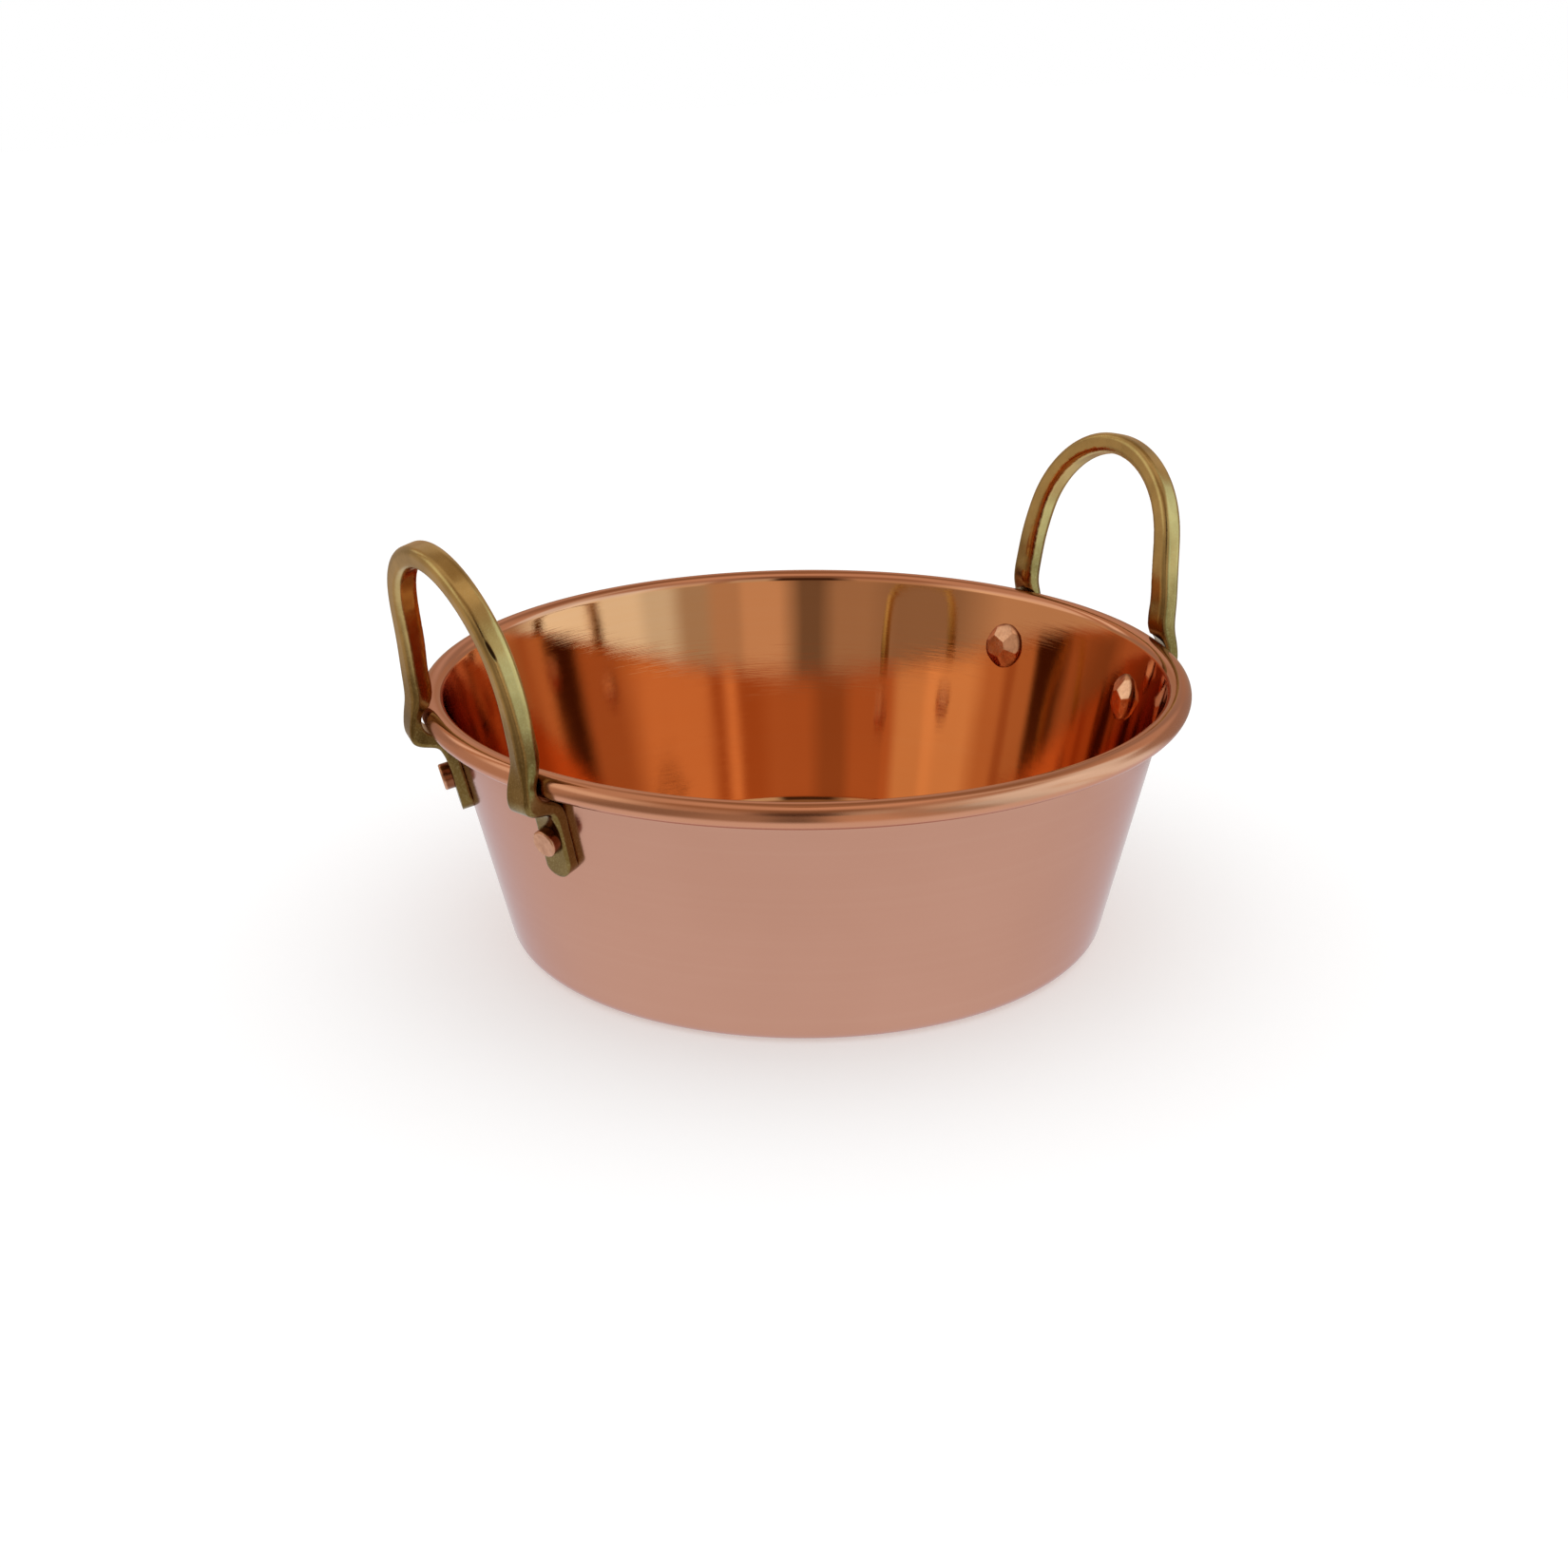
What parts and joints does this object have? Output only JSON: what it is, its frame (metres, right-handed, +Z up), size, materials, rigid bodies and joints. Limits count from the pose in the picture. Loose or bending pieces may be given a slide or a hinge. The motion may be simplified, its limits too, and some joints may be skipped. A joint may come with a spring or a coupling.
{
  "type": "jam pan",
  "caption": "Wide copper jam pan with flared wall, wired rolled rim, flat base and upright cast brass loop handles riveted on opposite sides.",
  "frame": {"origin": "middle of the flat base's underside, on the pan's axis", "axes": "+Z up along the pan's axis, +X through the right handle, -X through the left handle"},
  "size_m": [0.3886, 0.36, 0.2138],
  "materials": {
    "copper": "polished spun copper, unlacquered",
    "rim_wire": "plain drawn steel wire, hidden in the rim",
    "brass": "cast brass, hand filed and polished",
    "rivet_copper": "solid copper, hammered inner head"
  },
  "bodies": {
    "root": {"pan_body": "copper", "rim_wire": "rim_wire", "left_handle": "brass", "right_handle": "brass", "left_handle_front_rivet": "rivet_copper", "left_handle_rear_rivet": "rivet_copper", "right_handle_front_rivet": "rivet_copper", "right_handle_rear_rivet": "rivet_copper"}
  },
  "joints": []
}
